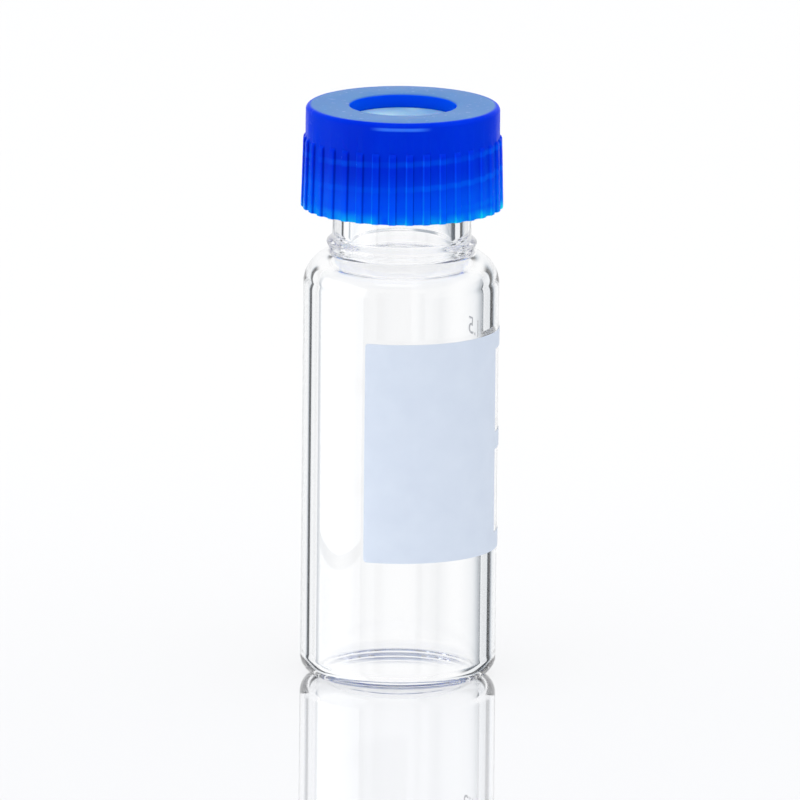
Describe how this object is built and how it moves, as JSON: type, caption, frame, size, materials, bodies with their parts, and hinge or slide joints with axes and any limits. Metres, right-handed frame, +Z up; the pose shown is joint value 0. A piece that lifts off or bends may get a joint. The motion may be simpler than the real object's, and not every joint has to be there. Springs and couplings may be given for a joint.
{
  "type": "screw-neck glass sample vial",
  "caption": "Small glass sample vial with a screw neck, an open-topped ribbed screw cap over a pierceable septum, and a write-on field with graduation bars.",
  "frame": {"origin": "centre of the vial's foot, on the surface that it stands on", "axes": "+Z up along the vial's axis; the left part of the write-on field and the middle of the pictured view face -Y"},
  "size_m": [0.012, 0.012, 0.0344],
  "materials": {
    "clear_glass": "clear polished glass",
    "fired_print": "satin fired ceramic ink",
    "silicone": "smooth satin silicone",
    "facing_film": "smooth fluoropolymer film",
    "blue_plastic": "glossy translucent moulded polypropylene"
  },
  "bodies": {
    "vial": {"glass_vial": "clear_glass", "write_on_field": "fired_print"},
    "septum": {"septum_disc": "silicone", "septum_facing": "facing_film"},
    "cap": {"screw_cap": "blue_plastic"}
  },
  "joints": [
    {"name": "cap_lift", "type": "slide", "parent": "vial", "child": "septum", "axis": [0, 0, 1], "range_m": [0, 0.0045]},
    {"name": "cap_turn", "type": "hinge", "parent": "septum", "child": "cap", "pos_m": [0, 0, 0.033], "axis": [0, 0, 1], "range_deg": [0, 1080]}
  ],
  "couplings": [
    {"joint": "cap_turn", "follows": "cap_lift", "rad_per_m": 4188.8}
  ]
}
